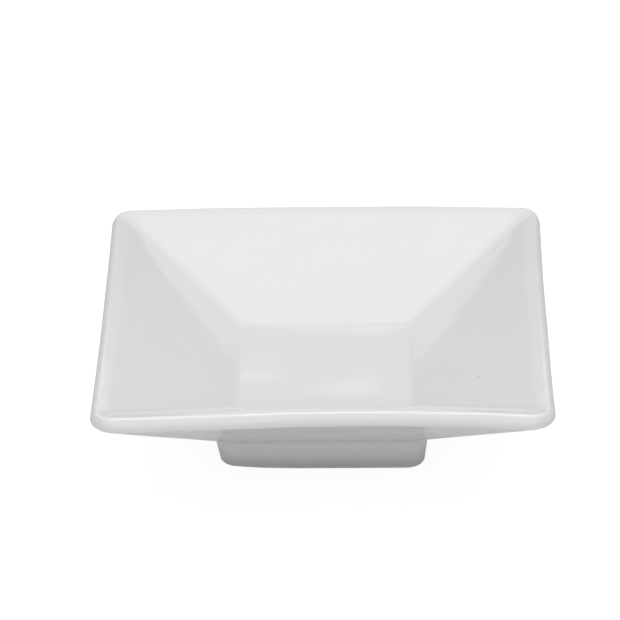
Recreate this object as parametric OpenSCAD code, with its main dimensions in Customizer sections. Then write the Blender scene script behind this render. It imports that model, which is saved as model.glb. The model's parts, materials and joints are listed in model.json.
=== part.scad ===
// Square footed bowl in white glazed porcelain.
// Millimetres, +Z up, origin on the table under the middle of the rim, front side towards -Y.
// The basin is pressed, and the foot ring is luted on under it before the firing. One coat of glaze
// runs over the basin and down the foot to the bare standing edge, and a separate patch of glaze
// lines the hollow under the foot.

/* [Rim] */
// Width of the square rim over its glaze, before its top edge is rounded
rim_w = 110; // [100:1:120]
// Height of the rim over the table, at the corners
rim_h = 31.6; // [29:0.1:35]
// Height of the face round the lip
lip_h = 3.5; // [3.2:0.1:4.2]
// How far the lip's face leans in towards its lower edge
lip_lean = 0.05; // [0:0.05:0.3]
// Height of the bulge of the lip's face over its lower edge
lip_belly_h = 1.6; // [1.5:0.1:1.8]
// Radius of the bulge of the lip's face
lip_belly_r = 3.1; // [2:0.1:3.2]
// How far the lip's top edge stands back from its face
lip_back = 1.25; // [1:0.05:1.4]
// Width of the lip, from its face to the basin
lip_w = 4.6; // [4:0.1:6]
// Height of the lip's crown over its inner edge
lip_crown = 0.95; // [0.6:0.05:1.1]
// Radius of the lip's outer top edge
lip_top_r = 1; // [0.8:0.1:1.2]
// Radius of the turn from the basin onto the lip
lip_inner_r = 6; // [3:0.5:8]
// Radius of the lip's lower edge
lip_low_r = 1; // [0.6:0.1:1.1]
// Corner radius of the lip's face, seen from above
rim_corner_r = 6; // [5:0.5:10]
// Corner radius of the lip's top edge, seen from above
crest_corner_r = 3.5; // [3:0.5:5]
// Corner radius of the basin at the lip, seen from above
mouth_corner_r = 3; // [2:0.5:5]
// How far the firing has drawn in the middle of each rim side
side_bow = 0.4; // [0:0.1:1]
// How far the middle of each rim side stands above the corners
side_rise = 0.8; // [0:0.1:1.5]

/* [Basin] */
// Width of the basin floor, from wall to wall
floor_w = 42.4; // [38:0.2:46]
// Height of the basin floor over the table
floor_h = 15; // [14:0.1:16]
// Radius of the turn from the floor into the walls
floor_turn_r = 4; // [2:0.5:6]
// Corner radius of the flat part of the floor, seen from above
floor_corner_r = 5; // [3:0.5:8]
// Corner radius of the basin just above its floor, seen from above
crease_r = 2; // [1.5:0.1:4]

/* [Foot] */
// Width of the foot where it meets the basin, over its glaze
foot_w = 52.1; // [48:0.1:54]
// Height of the foot, from the table to the basin's underside
foot_h = 8.7; // [7.8:0.1:9.2]
// How far each side of the foot leans in on its way down
foot_lean = 0.7; // [0.6:0.1:1.6]
// Radius of the turn from the basin's underside into the foot
foot_turn_r = 1.5; // [0.8:0.1:2]
// Radius of the foot's outer standing edge
foot_edge_r = 1.2; // [0.8:0.1:1.6]
// Corner radius of the foot, seen from above
foot_corner_r = 4; // [3.5:0.5:6]
// Thickness of the foot ring at its top
foot_t = 4.8; // [4.5:0.1:5.5]
// How far the foot is set to the right of the rim's middle
foot_set = -0.8; // [-1.5:0.1:1.5]

/* [Hollow under the foot] */
// How far the hollow runs up into the basin, past the foot ring
hollow_rise = 2; // [1.9:0.1:2.4]
// How far each inner side of the ring leans out on its way down
hollow_lean = 0.5; // [0.2:0.1:0.8]
// Radius of the turn from the hollow's ceiling into the ring
hollow_turn_r = 1.5; // [0.8:0.1:1.7]
// Radius of the foot's inner standing edge
hollow_edge_r = 0.7; // [0.4:0.1:0.9]
// Corner radius of the hollow, seen from above
hollow_corner_r = 3; // [2:0.5:4]

/* [Glaze] */
// Thickness of the fired glaze
glaze_t = 0.3; // [0.2:0.05:0.4]
// Thickness that is left at the glaze's ends
glaze_end_t = 0.1; // [0.05:0.05:0.2]

/* [Hidden] */

// Steps in a rounded edge, in a corner seen from above, and along a straight side
edge_steps = 4;
corner_steps = 6;
side_steps = 5;
// Longest step up or down a wall
wall_step = 9;

// Sizes of the fired clay under its glaze
clay_rim = rim_w / 2 - glaze_t;
clay_top = rim_h - glaze_t;
clay_mouth = rim_w / 2 - lip_w + glaze_t;
clay_floor = floor_h - glaze_t;
clay_floor_half = floor_w / 2 + glaze_t;
clay_foot = foot_w / 2 - glaze_t;
clay_ring_inner = clay_foot - foot_t;

// A station is a corner of the clay's outline, halfway along a side of the bowl:
// [half width, height, edge radius, corner radius seen from above, share of the rim's warp,
// share of the foot's offset]
flat_floor = [clay_floor_half - floor_turn_r / 2 - glaze_t, clay_floor, 0, floor_corner_r, 0, 0];
floor_edge = [clay_floor_half, clay_floor, floor_turn_r + glaze_t, crease_r, 0, 0];
mouth_edge = [clay_mouth, clay_top - lip_crown, lip_inner_r - glaze_t, mouth_corner_r, 1, 0];
lip_top = [clay_rim - lip_back, clay_top, lip_top_r - glaze_t, crest_corner_r, 1, 0];
lip_foot_h = rim_h - lip_h + glaze_t;
lip_belly = [clay_rim, lip_foot_h + lip_belly_h, lip_belly_r - glaze_t, rim_corner_r, 1, 0];
lip_foot = [clay_rim - lip_lean, lip_foot_h, lip_low_r - glaze_t, rim_corner_r, 1, 0];
foot_root = [clay_foot, foot_h, foot_turn_r + glaze_t, foot_corner_r, 0, 1];
outer_stand = [clay_foot - foot_lean, 0, foot_edge_r, foot_corner_r, 0, 1];
inner_stand = [clay_ring_inner + hollow_lean, 0, hollow_edge_r, hollow_corner_r, 0, 1];

// Levels of the outside of the clay, from the basin floor over the lip and down to the table
outside = rounded([
    flat_floor, floor_edge, mouth_edge, lip_top, lip_belly, lip_foot, foot_root, outer_stand,
    inner_stand
]);
last_of_edge = edge_steps + 1;
basin_end = 6 * last_of_edge;
glaze_end = basin_end + 1;
stand_end = 7 * last_of_edge;
basin_skin = stepped(part_of(outside, 0, basin_end));

// The joint between basin and ring is flat, at the height where the turn under the basin ends
joint_h = outside[basin_end][1];
ceiling_h = joint_h + hollow_rise + glaze_t;
ceiling_edge = [clay_ring_inner, ceiling_h, hollow_turn_r, hollow_corner_r, 0, 1];
ceiling = [clay_ring_inner - 2 * hollow_turn_r, ceiling_h, 0, hollow_corner_r, 0, 1];

// Levels of the hollow, from the table up to its ceiling
hollow = rounded([outer_stand, inner_stand, ceiling_edge, ceiling]);
hollow_stand_end = last_of_edge;
hollow_side = [hollow[hollow_stand_end], hollow[hollow_stand_end + 1]];
joint_share = (joint_h - hollow_side[0][1]) / (hollow_side[1][1] - hollow_side[0][1]);
joint_inner = between(hollow_side[0], hollow_side[1], joint_share);

function between(a, b, s) = a + (b - a) * s;
function reach(a, b) = norm([b[0] - a[0], b[1] - a[1]]);
function heading(a, b) = [b[0] - a[0], b[1] - a[1]] / reach(a, b);

// A level is [half width, height, corner radius seen from above, share of the rim's warp, share of
// the foot's offset, outward direction across and up]
function level(place, way, s) = [place[0], place[1], s[3], s[4], s[5], way[0], way[1]];

// Left of the way along the outline is out of the clay
function end_level(s, a, b) = level(s, [-heading(a, b)[1], heading(a, b)[0]], s);

function rounded(line) = let (last = len(line) - 1) concat(
    [end_level(line[0], line[0], line[1])],
    [for (i = [1:last - 1]) each edge_levels(line[i - 1], line[i], line[i + 1])],
    [end_level(line[last], line[last - 1], line[last])]
);

function edge_levels(a, s, b) = let (
    to_a = heading(s, a),
    to_b = heading(s, b),
    half = acos(to_a * to_b) / 2,
    cut = s[2] / tan(half),
    centre = [s[0], s[1]] + (to_a + to_b) / norm(to_a + to_b) * s[2] / sin(half),
    first = between(s, a, cut / reach(a, s)),
    last = between(s, b, cut / reach(b, s)),
    out = cross(to_a, to_b) > 0 ? 1 : -1,
    sweep = 180 - 2 * half
) [
    for (i = [0:edge_steps]) let (
        t = i / edge_steps,
        from_a = ([first[0], first[1]] - centre) * sin((1 - t) * sweep),
        from_b = ([last[0], last[1]] - centre) * sin(t * sweep),
        arm = (from_a + from_b) / sin(sweep),
        rest = between(between(first, s, t), between(s, last, t), t)
    ) level(centre + arm, arm / norm(arm) * out, rest)
];

// The same level with a skin of glaze on it
function coated(v, t) = [v[0] + t * v[5], v[1] + t * v[6], v[2] + t * v[5], v[3], v[4], v[5], v[6]];
function coat(levels) = let (last = len(levels) - 1) [
    for (i = [0:last]) coated(levels[i], i < last ? glaze_t : glaze_end_t)
];
// More levels where a wall runs straight for long
function stepped(levels) = let (last = len(levels) - 1) [
    for (i = [0:last - 1]) let (n = ceil(reach(levels[i], levels[i + 1]) / wall_step))
        for (k = [0:n - 1]) between(levels[i], levels[i + 1], k / n),
    levels[last]
];
function part_of(list, a, b) = [for (i = [a:b]) list[i]];
function reversed(list) = [for (i = [len(list) - 1:-1:0]) list[i]];

// Points round a square whose half width is 1: [place on the square, outward direction]
outline = [
    for (q = [0:3]) each concat(
        [for (i = [0:corner_steps]) quarter_turned([1, 1], q, 90 * i / corner_steps)],
        [for (i = [1:side_steps - 1]) quarter_turned([1 - 2 * i / side_steps, 1], q, 90)]
    )
];
function quarter_turned(p, q, a) = let (c = cos(90 * q), s = sin(90 * q))
    [p[0] * c - p[1] * s, p[0] * s + p[1] * c, cos(a + 90 * q), sin(a + 90 * q)];

// One level as points, a square with round corners that bows in and rises along its sides
function ring_points(v) = let (flat = v[0] - v[2]) [
    for (o = outline) let (
        middle = v[3] * (1 - pow(min(abs(o[0]), abs(o[1])), 2)),
        out = v[2] - side_bow * middle
    ) [
        flat * o[0] + out * o[2] + foot_set * v[4],
        flat * o[1] + out * o[3],
        v[1] + side_rise * middle
    ]
];

function middle_of(v) = [foot_set * v[4], 0, v[1]];

// A solid through its levels, with the clay or glaze to the right of their order. It either has a
// flat face at each end or runs round on itself.
module loft(levels, closed = false) {
    n = len(outline);
    m = len(levels);
    first = m * n;
    rings = [for (v = levels) ring_points(v)];
    sides = [
        for (i = [0:closed ? m - 1 : m - 2], j = [0:n - 1]) let (
            i2 = (i + 1) % m,
            k = (j + 1) % n,
            a = i * n,
            b = i2 * n,
            falling = norm(rings[i][j] - rings[i2][k]) < norm(rings[i][k] - rings[i2][j])
        ) each falling
            ? [[a + j, a + k, b + k], [a + j, b + k, b + j]]
            : [[a + j, a + k, b + j], [a + k, b + k, b + j]]
    ];
    ends = [
        for (j = [0:n - 1]) let (k = (j + 1) % n, last = first - n)
            each [[first, k, j], [first + 1, last + j, last + k]]
    ];
    polyhedron(
        points = [
            for (r = rings) each r,
            if (!closed) each [middle_of(levels[0]), middle_of(levels[m - 1])]
        ],
        faces = concat(sides, closed ? [] : ends),
        convexity = 6
    );
}

module bowl_body() {
    color("white")
        loft(concat(
            basin_skin,
            [joint_inner],
            part_of(hollow, hollow_stand_end + 1, len(hollow) - 1)
        ));
}

module foot_ring() {
    color("ivory")
        loft(concat(
            part_of(outside, basin_end, stand_end),
            part_of(hollow, 1, hollow_stand_end),
            [joint_inner]
        ), closed = true);
}

module glaze_coat() {
    covered = concat(basin_skin, [outside[glaze_end]]);
    color("whitesmoke")
        loft(concat(coat(covered), reversed(covered)));
}

module recess_glaze() {
    lined = part_of(hollow, hollow_stand_end, len(hollow) - 1);
    color("whitesmoke")
        loft(concat(reversed(lined), reversed(coat(reversed(lined)))));
}

bowl_body();
foot_ring();
glaze_coat();
recess_glaze();
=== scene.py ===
"""A small square footed bowl in white glazed porcelain, on a white table in soft studio light.

The bowl is four pieces that nest in each other: the pressed basin, the foot ring luted on under it,
one coat of glaze over both, and the patch of glaze in the hollow under the foot. Each is a section
of the wall that a Geometry Nodes tree sweeps round a square with bowed sides and round corners.
Lengths are in metres, +Z is up, and the front side looks towards -Y.
"""

import json
import math

import bpy
import numpy as np
from bpy.props import FloatProperty, FloatVectorProperty, IntProperty, PointerProperty
from mathutils import Matrix, Vector


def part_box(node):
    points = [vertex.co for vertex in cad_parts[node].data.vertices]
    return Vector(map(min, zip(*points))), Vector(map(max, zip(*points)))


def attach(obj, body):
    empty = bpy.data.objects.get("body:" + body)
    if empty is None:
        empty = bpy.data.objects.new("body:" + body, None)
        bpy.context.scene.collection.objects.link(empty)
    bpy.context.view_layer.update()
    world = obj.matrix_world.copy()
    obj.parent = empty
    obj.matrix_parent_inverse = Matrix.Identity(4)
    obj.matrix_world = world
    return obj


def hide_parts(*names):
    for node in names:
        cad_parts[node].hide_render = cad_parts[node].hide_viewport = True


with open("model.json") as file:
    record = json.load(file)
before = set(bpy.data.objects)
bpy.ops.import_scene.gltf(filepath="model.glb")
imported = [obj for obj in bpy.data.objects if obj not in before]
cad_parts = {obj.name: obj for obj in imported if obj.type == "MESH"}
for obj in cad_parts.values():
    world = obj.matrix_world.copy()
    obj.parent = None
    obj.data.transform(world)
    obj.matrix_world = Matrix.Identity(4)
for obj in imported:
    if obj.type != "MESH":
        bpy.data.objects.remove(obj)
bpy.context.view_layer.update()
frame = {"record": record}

bl_info = {
    "name": "Square footed bowl",
    "version": (1, 0, 0),
    "blender": (4, 5, 0),
    "location": "3D View > Sidebar > Bowl",
    "description": "Sweeps, glazes and lights a small square bowl in white porcelain",
    "category": "Add Mesh",
}

MM = 0.001
TINY = 1e-9

COAT_LOW, COAT_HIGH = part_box("glaze_coat")
RING_LOW, RING_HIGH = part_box("foot_ring")
MOUNTS = {mount["name"]: mount["pos_m"] for mount in frame["record"]["mounts"]}

# The rim's box is narrower than its square by this on each side, because the sides bow
RIM_SLACK = 0.037 * MM
# The rim's box is higher than its corners by this, because the sides rise towards their middle
RIM_RISE = 0.659 * MM


def length(name, default, description):
    """A size that a user may change."""
    return FloatProperty(
        name=name,
        description=description,
        default=default,
        precision=5,
        subtype="DISTANCE",
        unit="LENGTH",
    )


def colour(name, default, description):
    """A colour that a user may change."""
    return FloatVectorProperty(
        name=name,
        description=description,
        default=default,
        size=3,
        min=0,
        max=1,
        subtype="COLOR",
    )


class RimSizes(bpy.types.PropertyGroup):
    """Sizes of the rim and its lip, and how the kiln and the press have moved them."""

    width: length("Width", COAT_HIGH.x - COAT_LOW.x + 2 * RIM_SLACK, "Width of the square rim")
    height: length("Height", COAT_HIGH.z - RIM_RISE, "Height of the rim's corners over the table")
    lip_height: length("Lip height", 3.5 * MM, "Height of the face round the lip")
    lip_lean: length("Lip lean", 0.05 * MM, "How far the lip's face leans in on its way down")
    belly_height: length("Bulge height", 1.6 * MM, "Height of the face's bulge over its lower edge")
    belly_radius: length("Bulge radius", 3.1 * MM, "Radius of the bulge of the lip's face")
    lip_back: length("Lip set-back", 1.25 * MM, "How far the top edge stands back from the face")
    lip_width: length("Lip width", 4.6 * MM, "Width of the lip, from its face to the basin")
    lip_crown: length("Lip crown", 0.95 * MM, "Height of the lip's crown over its inner edge")
    top_radius: length("Top radius", 1 * MM, "Radius of the lip's outer top edge")
    inner_radius: length("Inner radius", 6 * MM, "Radius of the turn from the basin onto the lip")
    low_radius: length("Lower radius", 1 * MM, "Radius of the lip's lower edge")
    corner_radius: length("Corner radius", 6 * MM, "Corner radius of the lip's face, from above")
    crest_corner: length("Crest corner radius", 3.5 * MM, "Corner radius of the lip's top edge")
    mouth_radius: length("Mouth corner radius", 3 * MM, "Corner radius of the basin at the lip")
    bow: length("Side bow", 0.4 * MM, "How far the firing has drawn in the middle of each side")
    rise: length("Side rise", 0.8 * MM, "How far the middle of each side stands over the corners")
    front_lift: length("Front lift", 0.1 * MM, "How far the kiln lifted the middle of the front")
    front_tilt: length("Front tilt", 0.75 * MM, "How far the front rim has tipped up to the right")
    front_curl: length("Front curl", 0.65 * MM, "How much of that tip its ends have lost again")
    waver: length("Waver", 0.12 * MM, "How far the rim wavers from its true line")
    swell: length("Swell", 0.28 * MM, "Height of the broad swells that the pressing left")
    seed: FloatProperty(name="Seed", description="Which of many wavers this is", default=9)


class BasinSizes(bpy.types.PropertyGroup):
    """Sizes of the floor of the basin and its turn into the walls."""

    width: length("Floor width", 42.4 * MM, "Width of the basin floor, from wall to wall")
    height: length("Floor height", MOUNTS["basin_floor"][2], "Height of the floor over the table")
    turn_radius: length("Turn radius", 4 * MM, "Radius of the turn from the floor into the walls")
    corner_radius: length("Floor corner radius", 5 * MM, "Corner radius of the floor's flat part")
    crease_radius: length("Crease radius", 2 * MM, "Corner radius of the walls above the floor")
    border_width: length("Border width", 5.5 * MM, "Width of the floor's border, which rises")
    border_rise: length("Border rise", 0.1 * MM, "How far the floor rises over its border")
    border_bend: length("Border bend", 80 * MM, "Radius of the bend where the border begins")


class FootSizes(bpy.types.PropertyGroup):
    """Sizes of the foot ring and of the hollow inside it."""

    width: length("Foot width", 52.1 * MM, "Width of the foot where it meets the basin")
    height: length("Foot height", 8.7 * MM, "Height of the foot up to the basin's underside")
    lean: length("Foot lean", 0.7 * MM, "How far each side leans in on its way down")
    turn_radius: length("Foot turn radius", 3.2 * MM, "Radius of the turn from underside to foot")
    edge_radius: length("Foot edge radius", 1.2 * MM, "Radius of the outer standing edge")
    corner_radius: length("Foot corner radius", 4 * MM, "Corner radius of the foot, from above")
    thickness: length("Foot thickness", 4.8 * MM, "Thickness of the foot ring at its top")
    offset: length("Foot offset", (RING_LOW.x + RING_HIGH.x) / 2, "How far right the foot is set")
    joint: length("Joint height", RING_HIGH.z, "Height of the joint between basin and ring")
    hollow_rise: length("Hollow rise", 2 * MM, "How far the hollow runs up past the foot ring")
    hollow_lean: length("Hollow lean", 0.5 * MM, "How far each side leans out on its way down")
    hollow_turn: length("Hollow turn radius", 1.5 * MM, "Radius of the turn into the ceiling")
    hollow_edge: length("Hollow edge radius", 0.7 * MM, "Radius of the inner standing edge")
    hollow_corner: length("Hollow corner radius", 3 * MM, "Corner radius of the hollow")
    slump: length("Corner slump", 0.45 * MM, "How far the front left corner has drawn in and up")


class GlazeLook(bpy.types.PropertyGroup):
    """Thickness, colours, surface and pinhole of the glaze."""

    thickness: length("Thickness", 0.3 * MM, "Thickness of the fired glaze")
    end_thickness: length("End thickness", 0.1 * MM, "Thickness that is left at the glaze's ends")
    colour: colour("Glaze", (0.80, 0.80, 0.798), "Colour of the glaze over the clay")
    pooled: colour("Pooled glaze", (0.79, 0.794, 0.797), "Colour where the glaze has run together")
    thin: colour("Thin glaze", (0.795, 0.792, 0.786), "Colour where the glaze drew off an edge")
    cloud: colour("Clouded glaze", (0.79, 0.791, 0.792), "Colour of its faint clouds")
    speck: colour("Speck", (0.33, 0.31, 0.28), "Colour of the tiny specks in the glaze")
    wave: length("Waves", 0.015 * MM, "Height of the glaze's slow waves")
    peel: length("Peel", 0.002 * MM, "Height of the glaze's fine peel")
    pinhole: FloatVectorProperty(
        name="Pinhole",
        description="Where the glaze has a tiny dark pinhole",
        default=(37.57 * MM, -21.82 * MM, 24.08 * MM),
        size=3,
        subtype="TRANSLATION",
        unit="LENGTH",
    )
    pinhole_radius: length("Pinhole radius", 0.35 * MM, "Radius of the pinhole and its rim")


class ClayLook(bpy.types.PropertyGroup):
    """Colours and grain of the bare fired clay."""

    colour: colour("Bare clay", (0.78, 0.765, 0.73), "Colour of the fired clay where it is bare")
    cloud: colour("Clouded clay", (0.74, 0.72, 0.68), "Colour of its darker clouds")
    mark: colour("Marks", (0.45, 0.43, 0.40), "Colour of specks and of the marks from standing")
    grain: length("Grain", 0.015 * MM, "Height of the clay's grain")


class SweepSteps(bpy.types.PropertyGroup):
    """How finely the pieces are divided."""

    edge: IntProperty(name="Edge steps", description="Steps round an edge", default=10, min=2)
    corner: IntProperty(name="Corner steps", description="Steps round a corner", default=20, min=2)
    side: IntProperty(name="Side steps", description="Steps along a side", default=44, min=2)
    wall: length("Wall step", 1.5 * MM, "Longest step up or down a wall")


class StageSettings(bpy.types.PropertyGroup):
    """Where the camera stands, what it looks at and its lens."""

    azimuth: FloatProperty(
        name="Azimuth",
        description="How far round to the right the camera stands",
        default=math.radians(1.0112),
        subtype="ANGLE",
    )
    elevation: FloatProperty(
        name="Elevation",
        description="How far over the table the camera stands",
        default=math.radians(28.3896),
        subtype="ANGLE",
    )
    roll: FloatProperty(
        name="Roll",
        description="How far the camera is tipped to its side",
        default=math.radians(-0.8844),
        subtype="ANGLE",
    )
    distance: length("Distance", 1016.62 * MM, "Distance from the camera to the bowl")
    aim: FloatVectorProperty(
        name="Aim",
        description="Point that the camera looks at",
        default=(-3.51 * MM, 0, 30.9 * MM),
        size=3,
        subtype="TRANSLATION",
        unit="LENGTH",
    )
    focal: FloatProperty(
        name="Focal length",
        description="Focal length of the lens, in millimetres",
        default=239.68,
        unit="CAMERA",
    )


GROUPS = {
    "bowl_rim": RimSizes,
    "bowl_basin": BasinSizes,
    "bowl_foot": FootSizes,
    "bowl_glaze": GlazeLook,
    "bowl_clay": ClayLook,
    "bowl_steps": SweepSteps,
    "bowl_stage": StageSettings,
}


# A level of a section holds: half width, height, corner radius, warp share, foot share, and the way
# out of the clay or glaze, across and up
ACROSS, UP = 5, 6
# The basin's first station stands this share of the way from its middle to its border
FLAT_START = 0.8
# How far along the section the pooling of the glaze is smoothed
POOL_SPREAD = 1.2 * MM


def station(half, height, edge, corner, warp=0, foot=0):
    """A turn of the clay's outline, halfway along a side of the bowl.

    It has its half width and height, the radius that rounds it, the radius of the bowl's corners
    there as seen from above, and its shares of the rim's warp and of the foot's offset.
    """
    return np.array([half, height, edge, corner, warp, foot])


def reach(a, b):
    """Distance between two stations or levels, across and up."""
    return math.hypot(b[0] - a[0], b[1] - a[1])


def heading(a, b):
    """Direction from one station to another."""
    return (b[:2] - a[:2]) / reach(a, b)


def level(place, way, at):
    """A level at this place and facing this way, with what the station there says of the rest."""
    return np.array([*place, *at[3:], *way])


def end_level(at, a, b):
    """A level at an end of the line, which looks to the left of the line's way."""
    way = heading(a, b)
    return level(at[:2], (-way[1], way[0]), at)


def edge_levels(a, at, b, steps):
    """Levels round the edge of one station, between its neighbours."""
    to_a, to_b = heading(at, a), heading(at, b)
    half = math.acos(float(to_a @ to_b)) / 2
    cut = at[2] / math.tan(half)
    bisector = (to_a + to_b) / np.linalg.norm(to_a + to_b)
    centre = at[:2] + bisector * at[2] / math.sin(half)
    first = at + (a - at) * cut / reach(a, at)
    last = at + (b - at) * cut / reach(b, at)
    side = 1 if to_a[0] * to_b[1] > to_a[1] * to_b[0] else -1
    sweep = math.pi - 2 * half
    levels = []
    for i in range(steps + 1):
        t = i / steps
        arm = (first[:2] - centre) * math.sin((1 - t) * sweep)
        arm = (arm + (last[:2] - centre) * math.sin(t * sweep)) / math.sin(sweep)
        rest = (1 - t) ** 2 * first + 2 * t * (1 - t) * at + t * t * last
        levels.append(level(centre + arm, arm / np.linalg.norm(arm) * side, rest))
    return levels


def rounded(line, steps):
    """Levels along a line of stations, with their edges rounded."""
    levels = [end_level(line[0], line[0], line[1])]
    for a, at, b in zip(line, line[1:], line[2:]):
        levels += edge_levels(a, at, b, steps)
    return levels + [end_level(line[-1], line[-2], line[-1])]


def stepped(levels, step):
    """More levels where a wall runs straight for long."""
    made = []
    for a, b in zip(levels, levels[1:]):
        count = math.ceil(reach(a, b) / step)
        made += [a + (b - a) * k / count for k in range(count)]
    return made + [levels[-1]]


def coated(levels, thickness, end_thickness):
    """The same levels with a skin of glaze on them, thinner at its last one."""
    made = []
    for i, v in enumerate(levels):
        t = thickness if i < len(levels) - 1 else end_thickness
        made.append(v + t * np.array([v[ACROSS], v[UP], v[ACROSS], 0, 0, 0, 0]))
    return made


def to_middle(levels):
    """The levels with a pole at the middle of the bowl before the first of them."""
    pole = levels[0].copy()
    pole[0] = 0
    pole[2] = 0
    return [pole] + levels


def sections(scene):
    """Levels of the four pieces. Each runs once round the section of its clay or glaze."""
    rim, basin, foot, glaze = scene.bowl_rim, scene.bowl_basin, scene.bowl_foot, scene.bowl_glaze
    steps, wall = scene.bowl_steps.edge, scene.bowl_steps.wall
    t = glaze.thickness
    floor_half, floor = basin.width / 2 + t, basin.height - t
    border_half = floor_half - basin.border_width
    rim_half, top = rim.width / 2 - t, rim.height - t
    lip_inner, lip_foot = rim.width / 2 - rim.lip_width + t, rim.height - rim.lip_height + t
    belly = lip_foot + rim.belly_height
    foot_half = foot.width / 2 - t
    foot_low = foot_half - foot.lean
    ring_inner = foot_half - foot.thickness
    ring_low = ring_inner + foot.hollow_lean
    ceiling, ceiling_half = foot.joint + foot.hollow_rise + t, ring_inner - 2 * foot.hollow_turn
    on_rim, on_foot = {"warp": 1}, {"foot": 1}

    basin_line = [
        station(border_half * FLAT_START, floor, 0, basin.corner_radius),
        station(border_half, floor, basin.border_bend, basin.corner_radius),
        station(floor_half, floor + basin.border_rise, basin.turn_radius + t, basin.crease_radius),
    ]
    lip_line = [
        station(lip_inner, top - rim.lip_crown, rim.inner_radius - t, rim.mouth_radius, **on_rim),
        station(rim_half - rim.lip_back, top, rim.top_radius - t, rim.crest_corner, **on_rim),
        station(rim_half, belly, rim.belly_radius - t, rim.corner_radius, **on_rim),
        station(rim_half - rim.lip_lean, lip_foot, rim.low_radius - t, rim.corner_radius, **on_rim),
    ]
    foot_turn = station(foot_half, foot.height, foot.turn_radius + t, foot.corner_radius, **on_foot)
    standing_line = [
        station(foot_low, 0, foot.edge_radius, foot.corner_radius, **on_foot),
        station(ring_low, 0, foot.hollow_edge, foot.hollow_corner, **on_foot),
    ]
    hollow_line = [
        station(ring_inner, ceiling, foot.hollow_turn, foot.hollow_corner, **on_foot),
        station(ceiling_half, ceiling, 0, foot.hollow_corner, **on_foot),
    ]
    outside = rounded(basin_line + lip_line + [foot_turn] + standing_line, steps)
    hollow = rounded(standing_line + hollow_line, steps)

    per_edge = steps + 1
    basin_end = len(basin_line + lip_line) * per_edge
    stand_end = basin_end + per_edge
    low, high = hollow[per_edge], hollow[per_edge + 1]
    joint_inner = low + (high - low) * (foot.joint - low[1]) / (high[1] - low[1])
    skin = stepped(to_middle(outside[: basin_end + 1]), wall)
    roof = to_middle(hollow[:per_edge:-1])
    covered = skin + [outside[basin_end + 1]]
    lined = stepped(to_middle(hollow[: per_edge - 1 : -1]), wall)
    coat = coated(covered, t, glaze.end_thickness)
    lining = coated(lined, t, glaze.end_thickness)
    ring = outside[basin_end : stand_end + 1] + hollow[1 : per_edge + 1] + [joint_inner]
    return {
        "basin_clay": skin + stepped([joint_inner] + roof[::-1], wall),
        "foot_clay": stepped(ring + ring[:1], wall),
        "basin_glaze": coat + covered[::-1],
        "recess_glaze_patch": lined + lining[::-1],
    }


def pooling(rows):
    """How much the glaze pools at each level, from 1 in a tight hollow to -1 on a tight edge."""
    ways = rows[:, ACROSS:]
    steps = np.diff(rows[:, :2], axis=0)
    run = np.maximum(np.hypot(steps[:, 0], steps[:, 1]), TINY)
    turn = ways[:-1, 0] * ways[1:, 1] - ways[:-1, 1] * ways[1:, 0]
    bend = np.append(turn / run, 0)
    along = np.append(0, np.cumsum(run))
    weights = np.exp(-(((along[:, None] - along[None, :]) / POOL_SPREAD) ** 2)) * np.append(run, 0)
    bend = (weights * bend).sum(1) / np.maximum(weights.sum(1), TINY)
    return np.clip(bend * POOL_SPREAD, -1, 1)


def section_mesh(name, levels):
    """A line of points across the wall that carries what the sweep reads."""
    mesh = bpy.data.meshes.new(name + "_section")
    points = [(v[0], 0, v[1]) for v in levels]
    mesh.from_pydata(points, [(i, i + 1) for i in range(len(points) - 1)], [])
    rows = np.array(levels)
    columns = {
        "corner_radius": rows[:, 2],
        "warp_share": rows[:, 3],
        "foot_share": rows[:, 4],
        "edge_depth": pooling(rows),
        "corner_depth": -rows[:, ACROSS],
    }
    for attribute, values in columns.items():
        layer = mesh.attributes.new(attribute, "FLOAT", "POINT")
        layer.data.foreach_set("value", values.astype(np.float32))
    return mesh


class Wiring:
    """Adds nodes to a tree and links them. A value is a number or the output of another node."""

    def __init__(self, tree):
        self.tree = tree

    def add(self, kind, *values, out=0, **settings):
        """Adds a node, sets it, feeds its inputs in their order and gives one of its outputs."""
        node = self.tree.nodes.new(kind)
        for name, value in settings.items():
            setattr(node, name, value)
        sockets = [s for s in node.inputs if s.enabled]
        for socket, value in zip(sockets, values):
            self.feed(socket, value)
        return [s for s in node.outputs if s.enabled][out]

    def feed(self, socket, value):
        """Links an output to the socket, or sets the socket to a value. None leaves it alone."""
        if isinstance(value, bpy.types.NodeSocket):
            self.tree.links.new(value, socket)
        elif value is not None:
            socket.default_value = value

    def put_out(self, *values):
        """Feeds the group's outputs in their order."""
        node = self.tree.nodes.new("NodeGroupOutput")
        for socket, value in zip(node.inputs, values):
            self.feed(socket, value)

    def math(self, operation, *values, **settings):
        """Works out one number."""
        return self.add("ShaderNodeMath", *values, operation=operation, **settings)

    def vector(self, operation, *values):
        """Works out one vector, or a number from vectors."""
        return self.add("ShaderNodeVectorMath", *values, operation=operation)

    def product(self, first, *others):
        """Multiplies two or more numbers."""
        for other in others:
            first = self.math("MULTIPLY", first, other)
        return first

    def part(self, vector, axis):
        """The part of a vector along one axis."""
        return self.add("ShaderNodeSeparateXYZ", vector, out="XYZ".index(axis))

    def joined(self, x, y, z):
        """A vector of three numbers."""
        return self.add("ShaderNodeCombineXYZ", x, y, z)


def new_tree(name, kind, sockets):
    """A node tree with its group inputs and outputs: (direction, name, kind of socket)."""
    tree = bpy.data.node_groups.new(name, kind)
    for direction, socket, socket_kind in sockets:
        tree.interface.new_socket(name=socket, in_out=direction, socket_type=socket_kind)
    return tree


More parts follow.
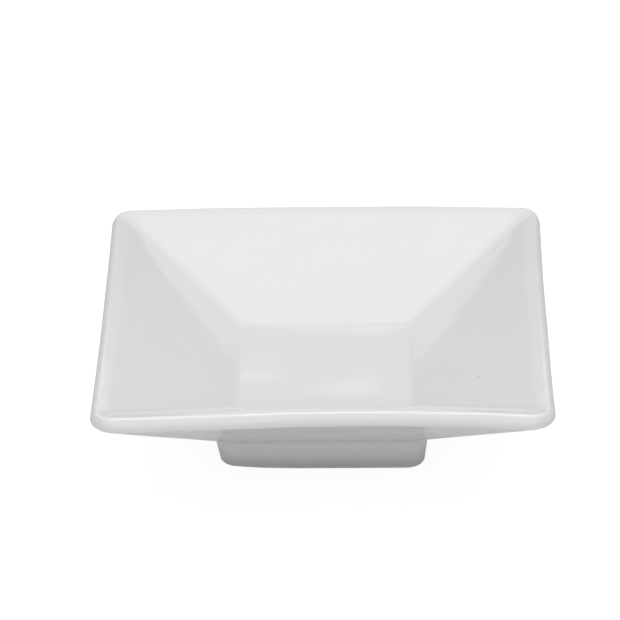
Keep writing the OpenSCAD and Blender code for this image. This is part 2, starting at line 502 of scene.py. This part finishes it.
SWEEP_NAME = "Sweep round a bowed square"
SWEEP_SOCKETS = (
    ("OUTPUT", "Geometry", "NodeSocketGeometry"),
    ("INPUT", "Section", "NodeSocketGeometry"),
    ("INPUT", "Corner steps", "NodeSocketInt"),
    ("INPUT", "Side steps", "NodeSocketInt"),
    ("INPUT", "Side bow", "NodeSocketFloat"),
    ("INPUT", "Side rise", "NodeSocketFloat"),
    ("INPUT", "Front lift", "NodeSocketFloat"),
    ("INPUT", "Front tilt", "NodeSocketFloat"),
    ("INPUT", "Front curl", "NodeSocketFloat"),
    ("INPUT", "Waver", "NodeSocketFloat"),
    ("INPUT", "Swell", "NodeSocketFloat"),
    ("INPUT", "Seed", "NodeSocketFloat"),
    ("INPUT", "Foot offset", "NodeSocketFloat"),
    ("INPUT", "Foot height", "NodeSocketFloat"),
    ("INPUT", "Corner slump", "NodeSocketFloat"),
    ("INPUT", "Material", "NodeSocketMaterial"),
)
QUARTER = math.pi / 2
# Added before a whole number is divided, so that rounding down never falls one short
HALF_STEP = 0.5
# The middle of the front rises by its lift, and its ends sink by this many lifts, less one
LIFT_FALL = 2.5
# How tightly the slump of the foot keeps to its corner
SLUMP_POWER = 6
# How many wavers and swells there are to a metre, and what makes a waver reach its full size
WAVERS, SWELLS = 22, 60
WAVER_GAIN = 4
# Points this near each other become one
WELD = MM / 1000


class Sweep(Wiring):
    """The wiring of the tree that sweeps a section round a square."""

    def __init__(self, tree):
        super().__init__(tree)
        self.given = tree.nodes.new("NodeGroupInput").outputs

    def lattice(self):
        """Adds a grid with a row for each level, and finds where each of its points belongs."""
        section, corner_steps = self.given["Section"], self.given["Corner steps"]
        side_steps = self.given["Side steps"]
        rows = self.add("GeometryNodeAttributeDomainSize", section, component="MESH")
        per_quarter = self.math("ADD", corner_steps, side_steps)
        columns = self.math("MULTIPLY_ADD", per_quarter, 4, 1)
        self.grid = self.add("GeometryNodeMeshGrid", 1, 1, columns, rows)

        index = self.add("GeometryNodeInputIndex")
        column = self.whole(index, rows)
        self.row = self.math("SUBTRACT", index, self.product(column, rows))
        quarter = self.whole(column, per_quarter)
        step = self.math("SUBTRACT", column, self.product(quarter, per_quarter))
        self.round_corner = self.math("MINIMUM", self.math("DIVIDE", step, corner_steps), 1)
        past_corner = self.math("MAXIMUM", self.math("SUBTRACT", step, corner_steps), 0)
        along = self.math("DIVIDE", past_corner, side_steps)
        turn = self.product(quarter, QUARTER)
        angle = self.math("MULTIPLY_ADD", self.round_corner, QUARTER, turn)
        corner = self.joined(self.math("MULTIPLY_ADD", along, -2, 1), 1, 0)
        about_z = {"rotation_type": "Z_AXIS"}
        self.place = self.add("ShaderNodeVectorRotate", corner, None, turn, **about_z)
        self.way = self.add("ShaderNodeVectorRotate", (1, 0, 0), None, angle, **about_z)
        self.point = self.of_section(self.add("GeometryNodeInputPosition"), "FLOAT_VECTOR")

    def whole(self, value, size):
        """How many whole sizes go into a value."""
        return self.math("FLOOR", self.math("DIVIDE", self.math("ADD", value, HALF_STEP), size))

    def falling(self, value):
        """1 where a value is -1, falling to 0 where it is 1."""
        return self.math("MULTIPLY_ADD", value, -0.5, 0.5)

    def of_section(self, value, kind="FLOAT"):
        """What the section has at this point's level."""
        section = self.given["Section"]
        return self.add("GeometryNodeSampleIndex", section, value, self.row, data_type=kind)

    def of_level(self, attribute):
        """A named number of this point's level."""
        value = self.add("GeometryNodeInputNamedAttribute", attribute, data_type="FLOAT")
        return self.of_section(value)

    def bowed(self, height, warp):
        """Points on the true shape, whose sides bow in and rise, and the height of each."""
        square = self.vector("ABSOLUTE", self.place)
        nearer = self.math("MINIMUM", self.part(square, "X"), self.part(square, "Y"))
        middle = self.math("MULTIPLY_ADD", self.product(nearer, nearer), -1, 1)
        middle = self.product(middle, warp)
        half, radius = self.part(self.point, "X"), self.of_level("corner_radius")
        out = self.math("SUBTRACT", radius, self.product(self.given["Side bow"], middle))
        flat = self.vector("SCALE", self.place, self.math("SUBTRACT", half, radius))
        lift = self.math("MULTIPLY_ADD", self.given["Side rise"], middle, height)
        return self.vector("ADD", flat, self.vector("SCALE", self.way, out)), lift

    def tipped(self, sideways, frontness, warp):
        """How far the kiln has lifted each point of the front rim."""
        squared = self.product(sideways, sideways)
        bent = self.math("MULTIPLY_ADD", squared, -LIFT_FALL, 1)
        bent = self.product(self.given["Front lift"], bent)
        tilt = self.product(self.given["Front curl"], squared)
        tilt = self.math("SUBTRACT", self.given["Front tilt"], tilt)
        at_front = self.product(frontness, frontness, warp)
        return self.product(self.math("MULTIPLY_ADD", sideways, tilt, bent), at_front)

    def slumped(self, sideways, frontness, height, foot_share):
        """How far the foot's front left corner has drawn in and up, most at its standing edge."""
        near = self.product(self.falling(sideways), frontness)
        near = self.math("POWER", near, SLUMP_POWER)
        up = self.math("DIVIDE", height, self.given["Foot height"])
        low = self.math("SUBTRACT", 1, up, use_clamp=True)
        drawn = self.product(self.given["Corner slump"], near, foot_share, low)
        return self.joined(drawn, drawn, self.product(drawn, low))

    def noise(self, spot, per_metre, output):
        """Soft noise at a spot."""
        node = self.tree.nodes.new("ShaderNodeTexNoise")
        node.noise_dimensions = "4D"
        values = {"Vector": spot, "W": self.given["Seed"], "Scale": per_metre, "Detail": 0}
        for name, value in values.items():
            self.feed(node.inputs[name], value)
        return node.outputs[output]

    def wavered(self, spot, warp, foot_share):
        """How far the rim wavers, and how far the surface above the foot swells."""
        drift = self.vector("SUBTRACT", self.noise(spot, WAVERS, "Color"), (0.5, 0.5, 0.5))
        drift = self.vector("SCALE", drift, self.product(self.given["Waver"], WAVER_GAIN, warp))
        swell = self.math("SUBTRACT", self.noise(spot, SWELLS, "Fac"), 0.5)
        above_foot = self.math("SUBTRACT", 1, foot_share)
        swell = self.product(swell, self.given["Swell"], above_foot)
        return self.vector("ADD", drift, self.joined(0, 0, swell))

    def glaze_depth(self):
        """How deep the glaze lies, from 1 where it pools to -1 where it is thin."""
        in_corner = self.math("PINGPONG", self.product(self.round_corner, 2), 1)
        corner, edge = self.of_level("corner_depth"), self.of_level("edge_depth")
        return self.math("MULTIPLY_ADD", in_corner, corner, edge)


def sweep_tree():
    """The tree that sweeps a section round a square with bowed sides and round corners."""
    if SWEEP_NAME in bpy.data.node_groups:
        return bpy.data.node_groups[SWEEP_NAME]
    w = Sweep(new_tree(SWEEP_NAME, "GeometryNodeTree", SWEEP_SOCKETS))
    w.lattice()
    warp, foot_share = w.of_level("warp_share"), w.of_level("foot_share")
    height, sideways = w.part(w.point, "Z"), w.part(w.place, "X")
    frontness = w.falling(w.part(w.place, "Y"))
    flat, lift = w.bowed(height, warp)
    lift = w.math("ADD", lift, w.tipped(sideways, frontness, warp))
    aside = w.product(w.given["Foot offset"], foot_share)
    spot = w.vector("ADD", flat, w.joined(aside, 0, lift))
    slump = w.slumped(sideways, frontness, height, foot_share)
    moved = w.vector("ADD", w.vector("ADD", spot, slump), w.wavered(spot, warp, foot_share))

    shaped = w.add("GeometryNodeSetPosition", w.grid, True, moved)
    marked = w.add("GeometryNodeStoreNamedAttribute", shaped, True, "glaze_depth", w.glaze_depth())
    welded = w.add("GeometryNodeMergeByDistance", marked, True, WELD)
    outward = w.add("GeometryNodeFlipFaces", welded)
    smooth = w.add("GeometryNodeSetShadeSmooth", outward, True, True)
    real = w.add("GeometryNodeRealizeInstances", smooth)
    w.put_out(w.add("GeometryNodeSetMaterial", real, True, w.given["Material"]))
    return w.tree


def mottle_group():
    """Soft cloudy value from 0 to 1, such as the waves of a glaze or the grain of clay."""
    sockets = (
        ("OUTPUT", "Value", "NodeSocketFloat"),
        ("INPUT", "Vector", "NodeSocketVector"),
        ("INPUT", "Per metre", "NodeSocketFloat"),
        ("INPUT", "Detail", "NodeSocketFloat"),
        ("INPUT", "Contrast", "NodeSocketFloat"),
    )
    tree = new_tree("Mottle", "ShaderNodeTree", sockets)
    w = Wiring(tree)
    given = tree.nodes.new("NodeGroupInput").outputs
    cloud = w.add("ShaderNodeTexNoise", given["Vector"], given["Per metre"], given["Detail"])
    swing = w.product(w.math("SUBTRACT", cloud, 0.5), given["Contrast"])
    w.put_out(w.math("ADD", swing, 0.5, use_clamp=True))
    return tree


def speck_group():
    """Mask of tiny round specks that lie here and there."""
    sockets = (
        ("OUTPUT", "Mask", "NodeSocketFloat"),
        ("INPUT", "Vector", "NodeSocketVector"),
        ("INPUT", "Per metre", "NodeSocketFloat"),
        ("INPUT", "Radius share", "NodeSocketFloat"),
        ("INPUT", "Share of cells", "NodeSocketFloat"),
    )
    tree = new_tree("Specks", "ShaderNodeTree", sockets)
    w = Wiring(tree)
    given = tree.nodes.new("NodeGroupInput").outputs
    cells = tree.nodes.new("ShaderNodeTexVoronoi")
    w.feed(cells.inputs["Vector"], given["Vector"])
    w.feed(cells.inputs["Scale"], given["Per metre"])
    near = w.math("DIVIDE", cells.outputs["Distance"], given["Radius share"])
    dot = w.math("SUBTRACT", 1, near, use_clamp=True)
    luck = w.add("ShaderNodeSeparateColor", cells.outputs["Color"])
    chosen = w.math("LESS_THAN", luck, given["Share of cells"])
    w.put_out(w.product(w.math("SQRT", dot), chosen))
    return tree


def shared_group(name):
    """A node group that more than one material uses, built once."""
    builders = {"Mottle": mottle_group, "Specks": speck_group}
    return bpy.data.node_groups.get(name) or builders[name]()


class Paint(Wiring):
    """The wiring of one new material."""

    def __init__(self, name):
        self.material = bpy.data.materials.new(name)
        self.material.use_nodes = True
        super().__init__(self.material.node_tree)
        self.tree.nodes.clear()
        self.place = self.named("ShaderNodeTexCoord", "Object")

    def named(self, kind, output, **values):
        """Adds a node, feeds its inputs by name and gives the output of that name."""
        node = self.tree.nodes.new(kind)
        for name, value in values.items():
            self.feed(node.inputs[name.replace("_", " ")], value)
        return node.outputs[output]

    def shared(self, name, **values):
        """Places a shared group at the piece's own coordinates."""
        node = self.tree.nodes.new("ShaderNodeGroup")
        node.node_tree = shared_group(name)
        self.feed(node.inputs["Vector"], self.place)
        for key, value in values.items():
            self.feed(node.inputs[key.replace("_", " ").capitalize()], value)
        return node.outputs[0]

    def mottle(self, per_metre, detail, contrast):
        """Soft clouds from 0 to 1."""
        return self.shared("Mottle", per_metre=per_metre, detail=detail, contrast=contrast)

    def specks(self, per_metre, radius_share, share_of_cells):
        """Mask of specks, of which only this share of the cells has one."""
        return self.shared(
            "Specks", per_metre=per_metre, radius_share=radius_share, share_of_cells=share_of_cells
        )

    def blend(self, share, low, high):
        """A colour between two others."""
        node = self.tree.nodes.new("ShaderNodeMix")
        node.data_type = "RGBA"
        self.feed(node.inputs["Factor"], share)
        for socket, value in ((node.inputs[6], low), (node.inputs[7], high)):
            self.feed(socket, value if isinstance(value, bpy.types.NodeSocket) else (*value, 1))
        return node.outputs[2]

    def between(self, share, low, high):
        """A number between two others."""
        return self.math("MULTIPLY_ADD", share, high - low, low)

    def bump(self, height, distance, normal=None):
        """A surface raised by a height from 0 to 1 of this distance."""
        node = self.tree.nodes.new("ShaderNodeBump")
        self.feed(node.inputs["Distance"], distance)
        self.feed(node.inputs["Height"], height)
        self.feed(node.inputs["Normal"], normal)
        return node.outputs["Normal"]

    def finish(self, surface):
        """Ends the material with its surface."""
        self.feed(self.tree.nodes.new("ShaderNodeOutputMaterial").inputs["Surface"], surface)
        return self.material


PORCELAIN_IOR = 1.5
# Roughness where the surface is smoothest and where it is roughest
GLAZE_ROUGHNESS = 0.045, 0.085
CLAY_ROUGHNESS = 0.72, 0.9
# How far the tone goes to that of the clouds or marks where they are strongest
GLAZE_CLOUDING = 0.5
CLAY_MARKING = 0.25


def glaze_material(scene):
    """Glossy white glaze, cooler where it pools and warmer where it is thin, with a few specks."""
    look = scene.bowl_glaze
    p = Paint("white_glaze")
    depth = p.tree.nodes.new("ShaderNodeAttribute")
    depth.attribute_name = "glaze_depth"
    pooled = p.math("MULTIPLY", depth.outputs["Fac"], 1, use_clamp=True)
    thin = p.math("MULTIPLY", depth.outputs["Fac"], -1, use_clamp=True)
    tone = p.blend(pooled, look.colour, look.pooled)
    tone = p.blend(thin, tone, look.thin)
    cloud = p.mottle(per_metre=45, detail=2, contrast=1.6)
    tone = p.blend(p.product(cloud, GLAZE_CLOUDING), tone, look.cloud)
    specks = p.specks(per_metre=95, radius_share=0.022, share_of_cells=0.012)
    tone = p.blend(specks, tone, look.speck)
    away = p.vector("DISTANCE", p.place, tuple(look.pinhole))
    pit = p.math("SUBTRACT", 1, p.math("DIVIDE", away, look.pinhole_radius), use_clamp=True)
    tone = p.blend(pit, tone, look.speck)
    waves = p.bump(p.mottle(per_metre=160, detail=1, contrast=1.5), look.wave)
    peel = p.bump(p.mottle(per_metre=700, detail=1, contrast=1.5), look.peel, waves)
    smears = p.mottle(per_metre=90, detail=3, contrast=2)
    surface = p.named(
        "ShaderNodeBsdfPrincipled",
        "BSDF",
        Base_Color=tone,
        Roughness=p.between(smears, *GLAZE_ROUGHNESS),
        IOR=PORCELAIN_IOR,
        Normal=peel,
    )
    return p.finish(surface)


def clay_material(scene):
    """Bare fired porcelain: matte and finely grained, with specks and grey marks from standing."""
    look = scene.bowl_clay
    p = Paint("bare_clay")
    clouds = p.mottle(per_metre=260, detail=4, contrast=2.5)
    marks = p.mottle(per_metre=900, detail=2, contrast=6)
    specks = p.specks(per_metre=420, radius_share=0.06, share_of_cells=0.05)
    tone = p.blend(clouds, look.colour, look.cloud)
    tone = p.blend(p.product(marks, CLAY_MARKING), tone, look.mark)
    tone = p.blend(specks, tone, look.mark)
    grain = p.mottle(per_metre=5200, detail=4, contrast=2)
    surface = p.named(
        "ShaderNodeBsdfPrincipled",
        "BSDF",
        Base_Color=tone,
        Roughness=p.between(grain, *CLAY_ROUGHNESS),
        IOR=PORCELAIN_IOR,
        Normal=p.bump(grain, look.grain),
    )
    return p.finish(surface)


def swept_piece(scene, name, levels, material):
    """Sweeps one section into a closed piece with its place in its mesh."""
    piece = bpy.data.objects.new(name, section_mesh(name, levels))
    scene.collection.objects.link(piece)
    modifier = piece.modifiers.new("Sweep", "NODES")
    modifier.node_group = sweep_tree()
    rim, foot = scene.bowl_rim, scene.bowl_foot
    values = {
        "Corner steps": scene.bowl_steps.corner,
        "Side steps": scene.bowl_steps.side,
        "Side bow": rim.bow,
        "Side rise": rim.rise,
        "Front lift": rim.front_lift,
        "Front tilt": rim.front_tilt,
        "Front curl": rim.front_curl,
        "Waver": rim.waver,
        "Swell": rim.swell,
        "Seed": rim.seed,
        "Foot offset": foot.offset,
        "Foot height": foot.height,
        "Corner slump": foot.slump,
        "Material": material,
    }
    for item in modifier.node_group.interface.items_tree:
        if item.name in values:
            modifier[item.identifier] = values[item.name]
    graph = bpy.context.evaluated_depsgraph_get()
    mesh = bpy.data.meshes.new_from_object(piece.evaluated_get(graph), depsgraph=graph)
    piece.modifiers.clear()
    piece.data = mesh
    mesh.name = name
    return piece


def dressed(scene, name, material, node):
    """Makes one piece that stands for a CAD node."""
    piece = swept_piece(scene, name, sections(scene)[name], material)
    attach(piece, "root")
    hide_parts(node)


class BOWL_OT_clay(bpy.types.Operator):
    """Makes the pressed basin and the foot ring, of fired clay."""

    bl_idname = "bowl.clay"
    bl_label = "Basin and foot ring"

    def execute(self, context):
        material = clay_material(context.scene)
        dressed(context.scene, "basin_clay", material, "bowl_body")
        dressed(context.scene, "foot_clay", material, "foot_ring")
        return {"FINISHED"}


class BOWL_OT_glaze(bpy.types.Operator):
    """Makes the coat of glaze and the patch of glaze under the foot."""

    bl_idname = "bowl.glaze"
    bl_label = "Glaze"

    def execute(self, context):
        material = glaze_material(context.scene)
        dressed(context.scene, "basin_glaze", material, "glaze_coat")
        dressed(context.scene, "recess_glaze_patch", material, "recess_glaze")
        return {"FINISHED"}


# Colour of the floor and backdrop to the eye, where their glow makes them white
EYE_TONE = 0.2
# Strength of the world on the bowl. To the eye it is 1, which is white
WORLD_GLOW = 0.2
# How far the floor reaches, and how many edge radii inside the foot's outer edge it is open
TABLE_HALF, OPENING_INSET = 6, 1.5
BACKDROP_RADIUS, BACKDROP_HEIGHT, BACKDROP_SIDES = 3, 0.4, 96
# In millimetres
SENSOR_WIDTH = 36
# Each soft lamp's place, the point it faces, its width and depth, and how brightly it glows
LAMPS = {
    "key": ((0.01, -0.2, 0.94), (0, 0, 0.03), 0.34, 0.34, 5.4),
    "overhead": ((0, -0.025, 0.9), (0, -0.025, 0), 2.6, 0.85, 0.98),
    "overhead_front": ((0, -0.875, 0.9), (0, -0.875, 0), 2.6, 0.85, 0.3),
    "overhead_back": ((0, 0.6, 0.9), (0, 0.6, 0), 2.6, 0.4, 0.4),
    "front": ((0, -1.35, 0.71), (0, 0, 0.71), 2.7, 0.37, 1),
    "front_low": ((0, -1.35, 0.34), (0, 0, 0.34), 2.7, 0.37, 0.62),
    "front_floor": ((0, -1.35, 0.085), (0, 0, 0.085), 2.7, 0.13, 0.68),
    "left": ((-1.35, -0.7, 0.7), (0, -0.7, 0.7), 1.1, 0.4, 0.46),
    "right": ((1.35, -0.1, 0.55), (0, -0.1, 0.55), 2.3, 0.7, 0.225),
    "back": ((0, 1.35, 0.868), (0, 0, 0.868), 2.7, 0.13, 0.75),
    "under": ((0, 0, -0.9), (0, 0, 0), 1.6, 1.6, 0.7),
}


def white_surface(name, plain, gloss_tone, gloss_glow, eye_glow):
    """Pale surface, white to the eye, that glows at its own strength where the bowl mirrors it.

    It is clear from its back, so that a camera under the table sees the underside of the bowl.
    """
    p = Paint(name)
    path = p.tree.nodes.new("ShaderNodeLightPath").outputs
    eye = p.math("MAXIMUM", path["Is Camera Ray"], path["Is Transmission Ray"])
    gloss = path["Is Glossy Ray"]
    tone = p.blend(eye, p.blend(gloss, (plain,) * 3, (gloss_tone,) * 3), (EYE_TONE,) * 3)
    glow = p.math("MULTIPLY_ADD", eye, eye_glow, p.product(gloss, gloss_glow))
    paint = p.named("ShaderNodeBsdfDiffuse", "BSDF", Color=tone)
    light = p.named("ShaderNodeEmission", "Emission", Color=(1, 1, 1, 1), Strength=glow)
    surface = p.add("ShaderNodeAddShader", paint, light)
    from_below = p.named("ShaderNodeNewGeometry", "Backfacing")
    clear = p.add("ShaderNodeBsdfTransparent")
    return p.finish(p.add("ShaderNodeMixShader", from_below, surface, clear))


def staged(scene, name, points, faces, material):
    """Makes a surface of the stage."""
    mesh = bpy.data.meshes.new(name)
    mesh.from_pydata(points, [], faces)
    mesh.materials.append(material)
    piece = bpy.data.objects.new(name, mesh)
    scene.collection.objects.link(piece)


def table(scene):
    """Makes the floor, open under the foot, where only light from below can reach the recess."""
    foot = scene.bowl_foot
    gap = foot.width / 2 - foot.lean - OPENING_INSET * foot.edge_radius
    signs = ((-1, -1), (1, -1), (1, 1), (-1, 1))
    points = [(TABLE_HALF * x, TABLE_HALF * y, 0) for x, y in signs]
    points += [(gap * x + foot.offset, gap * y, 0) for x, y in signs]
    faces = [(i, (i + 1) % 4, (i + 1) % 4 + 4, i + 4) for i in range(4)]
    white = white_surface("white_table", plain=0.8, gloss_tone=0.08, gloss_glow=0.45, eye_glow=0.9)
    staged(scene, "table_top", points, faces, white)


def backdrop(scene):
    """Makes the low round wall behind everything, open at its top."""
    count, radius = BACKDROP_SIDES, BACKDROP_RADIUS
    angles = [math.tau * i / count for i in range(count)]
    points = [
        (radius * math.cos(a), radius * math.sin(a), z)
        for z in (0, BACKDROP_HEIGHT)
        for a in angles
    ]
    faces = [(i, i + count, (i + 1) % count + count, (i + 1) % count) for i in range(count)]
    white = white_surface("white_backdrop", plain=0.5, gloss_tone=0.1, gloss_glow=0.55, eye_glow=1)
    staged(scene, "backdrop", points, faces, white)


def studio_world(scene):
    """Makes the world, which is white to the eye and dimmer on the bowl."""
    world = bpy.data.worlds.new("studio")
    world.use_nodes = True
    w = Wiring(world.node_tree)
    path = w.tree.nodes.new("ShaderNodeLightPath").outputs
    strength = w.math("MULTIPLY_ADD", path["Is Camera Ray"], 1 - WORLD_GLOW, WORLD_GLOW)
    background = w.tree.nodes["Background"].inputs
    w.feed(background["Color"], (1, 1, 1, 1))
    w.feed(background["Strength"], strength)
    scene.world = world


def panel(scene, name, place, aim, width, depth, brightness):
    """Makes a soft lamp of this size and brightness that faces the point it aims at."""
    lamp = bpy.data.lights.new(name, "AREA")
    lamp.shape = "RECTANGLE"
    lamp.size = width
    lamp.size_y = depth
    lamp.energy = brightness * math.pi * width * depth
    holder = bpy.data.objects.new(name, lamp)
    holder.location = place
    holder.rotation_mode = "QUATERNION"
    holder.rotation_quaternion = (Vector(aim) - Vector(place)).to_track_quat("-Z", "Y")
    scene.collection.objects.link(holder)


def studio_camera(scene):
    """Makes the camera that looks as the photograph does."""
    stage = scene.bowl_stage
    camera = bpy.data.cameras.new("camera")
    camera.sensor_width = SENSOR_WIDTH
    camera.lens = stage.focal
    holder = bpy.data.objects.new("camera", camera)
    scene.collection.objects.link(holder)
    az, el, roll = stage.azimuth, stage.elevation, stage.roll
    back = Vector((math.sin(az) * math.cos(el), -math.cos(az) * math.cos(el), math.sin(el)))
    right = Vector((math.cos(az), math.sin(az), 0))
    up = back.cross(right)
    rolled_right = math.cos(roll) * right + math.sin(roll) * up
    rolled_up = -math.sin(roll) * right + math.cos(roll) * up
    turn = Matrix((rolled_right, rolled_up, back)).transposed().to_4x4()
    holder.matrix_world = Matrix.Translation(Vector(stage.aim) + stage.distance * back) @ turn
    scene.camera = holder


class BOWL_OT_stage(bpy.types.Operator):
    """Makes the floor, the backdrop, the world, the lamps and the camera."""

    bl_idname = "bowl.stage"
    bl_label = "Stage"

    def execute(self, context):
        scene = context.scene
        scene.view_settings.view_transform = "Standard"
        table(scene)
        backdrop(scene)
        studio_world(scene)
        for name, lamp in LAMPS.items():
            panel(scene, name, *lamp)
        studio_camera(scene)
        return {"FINISHED"}


class BOWL_PT_panel(bpy.types.Panel):
    """Lists the steps that make the bowl."""

    bl_idname = "BOWL_PT_panel"
    bl_label = "Square bowl"
    bl_space_type = "VIEW_3D"
    bl_region_type = "UI"
    bl_category = "Bowl"

    def draw(self, context):
        for operator in OPERATORS:
            self.layout.operator(operator.bl_idname)


OPERATORS = (BOWL_OT_clay, BOWL_OT_glaze, BOWL_OT_stage)


def register():
    """Registers the classes and hangs the settings on the scene."""
    for cls in (*GROUPS.values(), *OPERATORS, BOWL_PT_panel):
        bpy.utils.register_class(cls)
    for name, group in GROUPS.items():
        setattr(bpy.types.Scene, name, PointerProperty(type=group))


def unregister():
    """Takes the settings and the classes away again."""
    for name in GROUPS:
        delattr(bpy.types.Scene, name)
    for cls in reversed((*GROUPS.values(), *OPERATORS, BOWL_PT_panel)):
        bpy.utils.unregister_class(cls)


def main():
    register()
    bpy.ops.bowl.clay()
    bpy.ops.bowl.glaze()
    bpy.ops.bowl.stage()


if __name__ == "__main__":
    main()
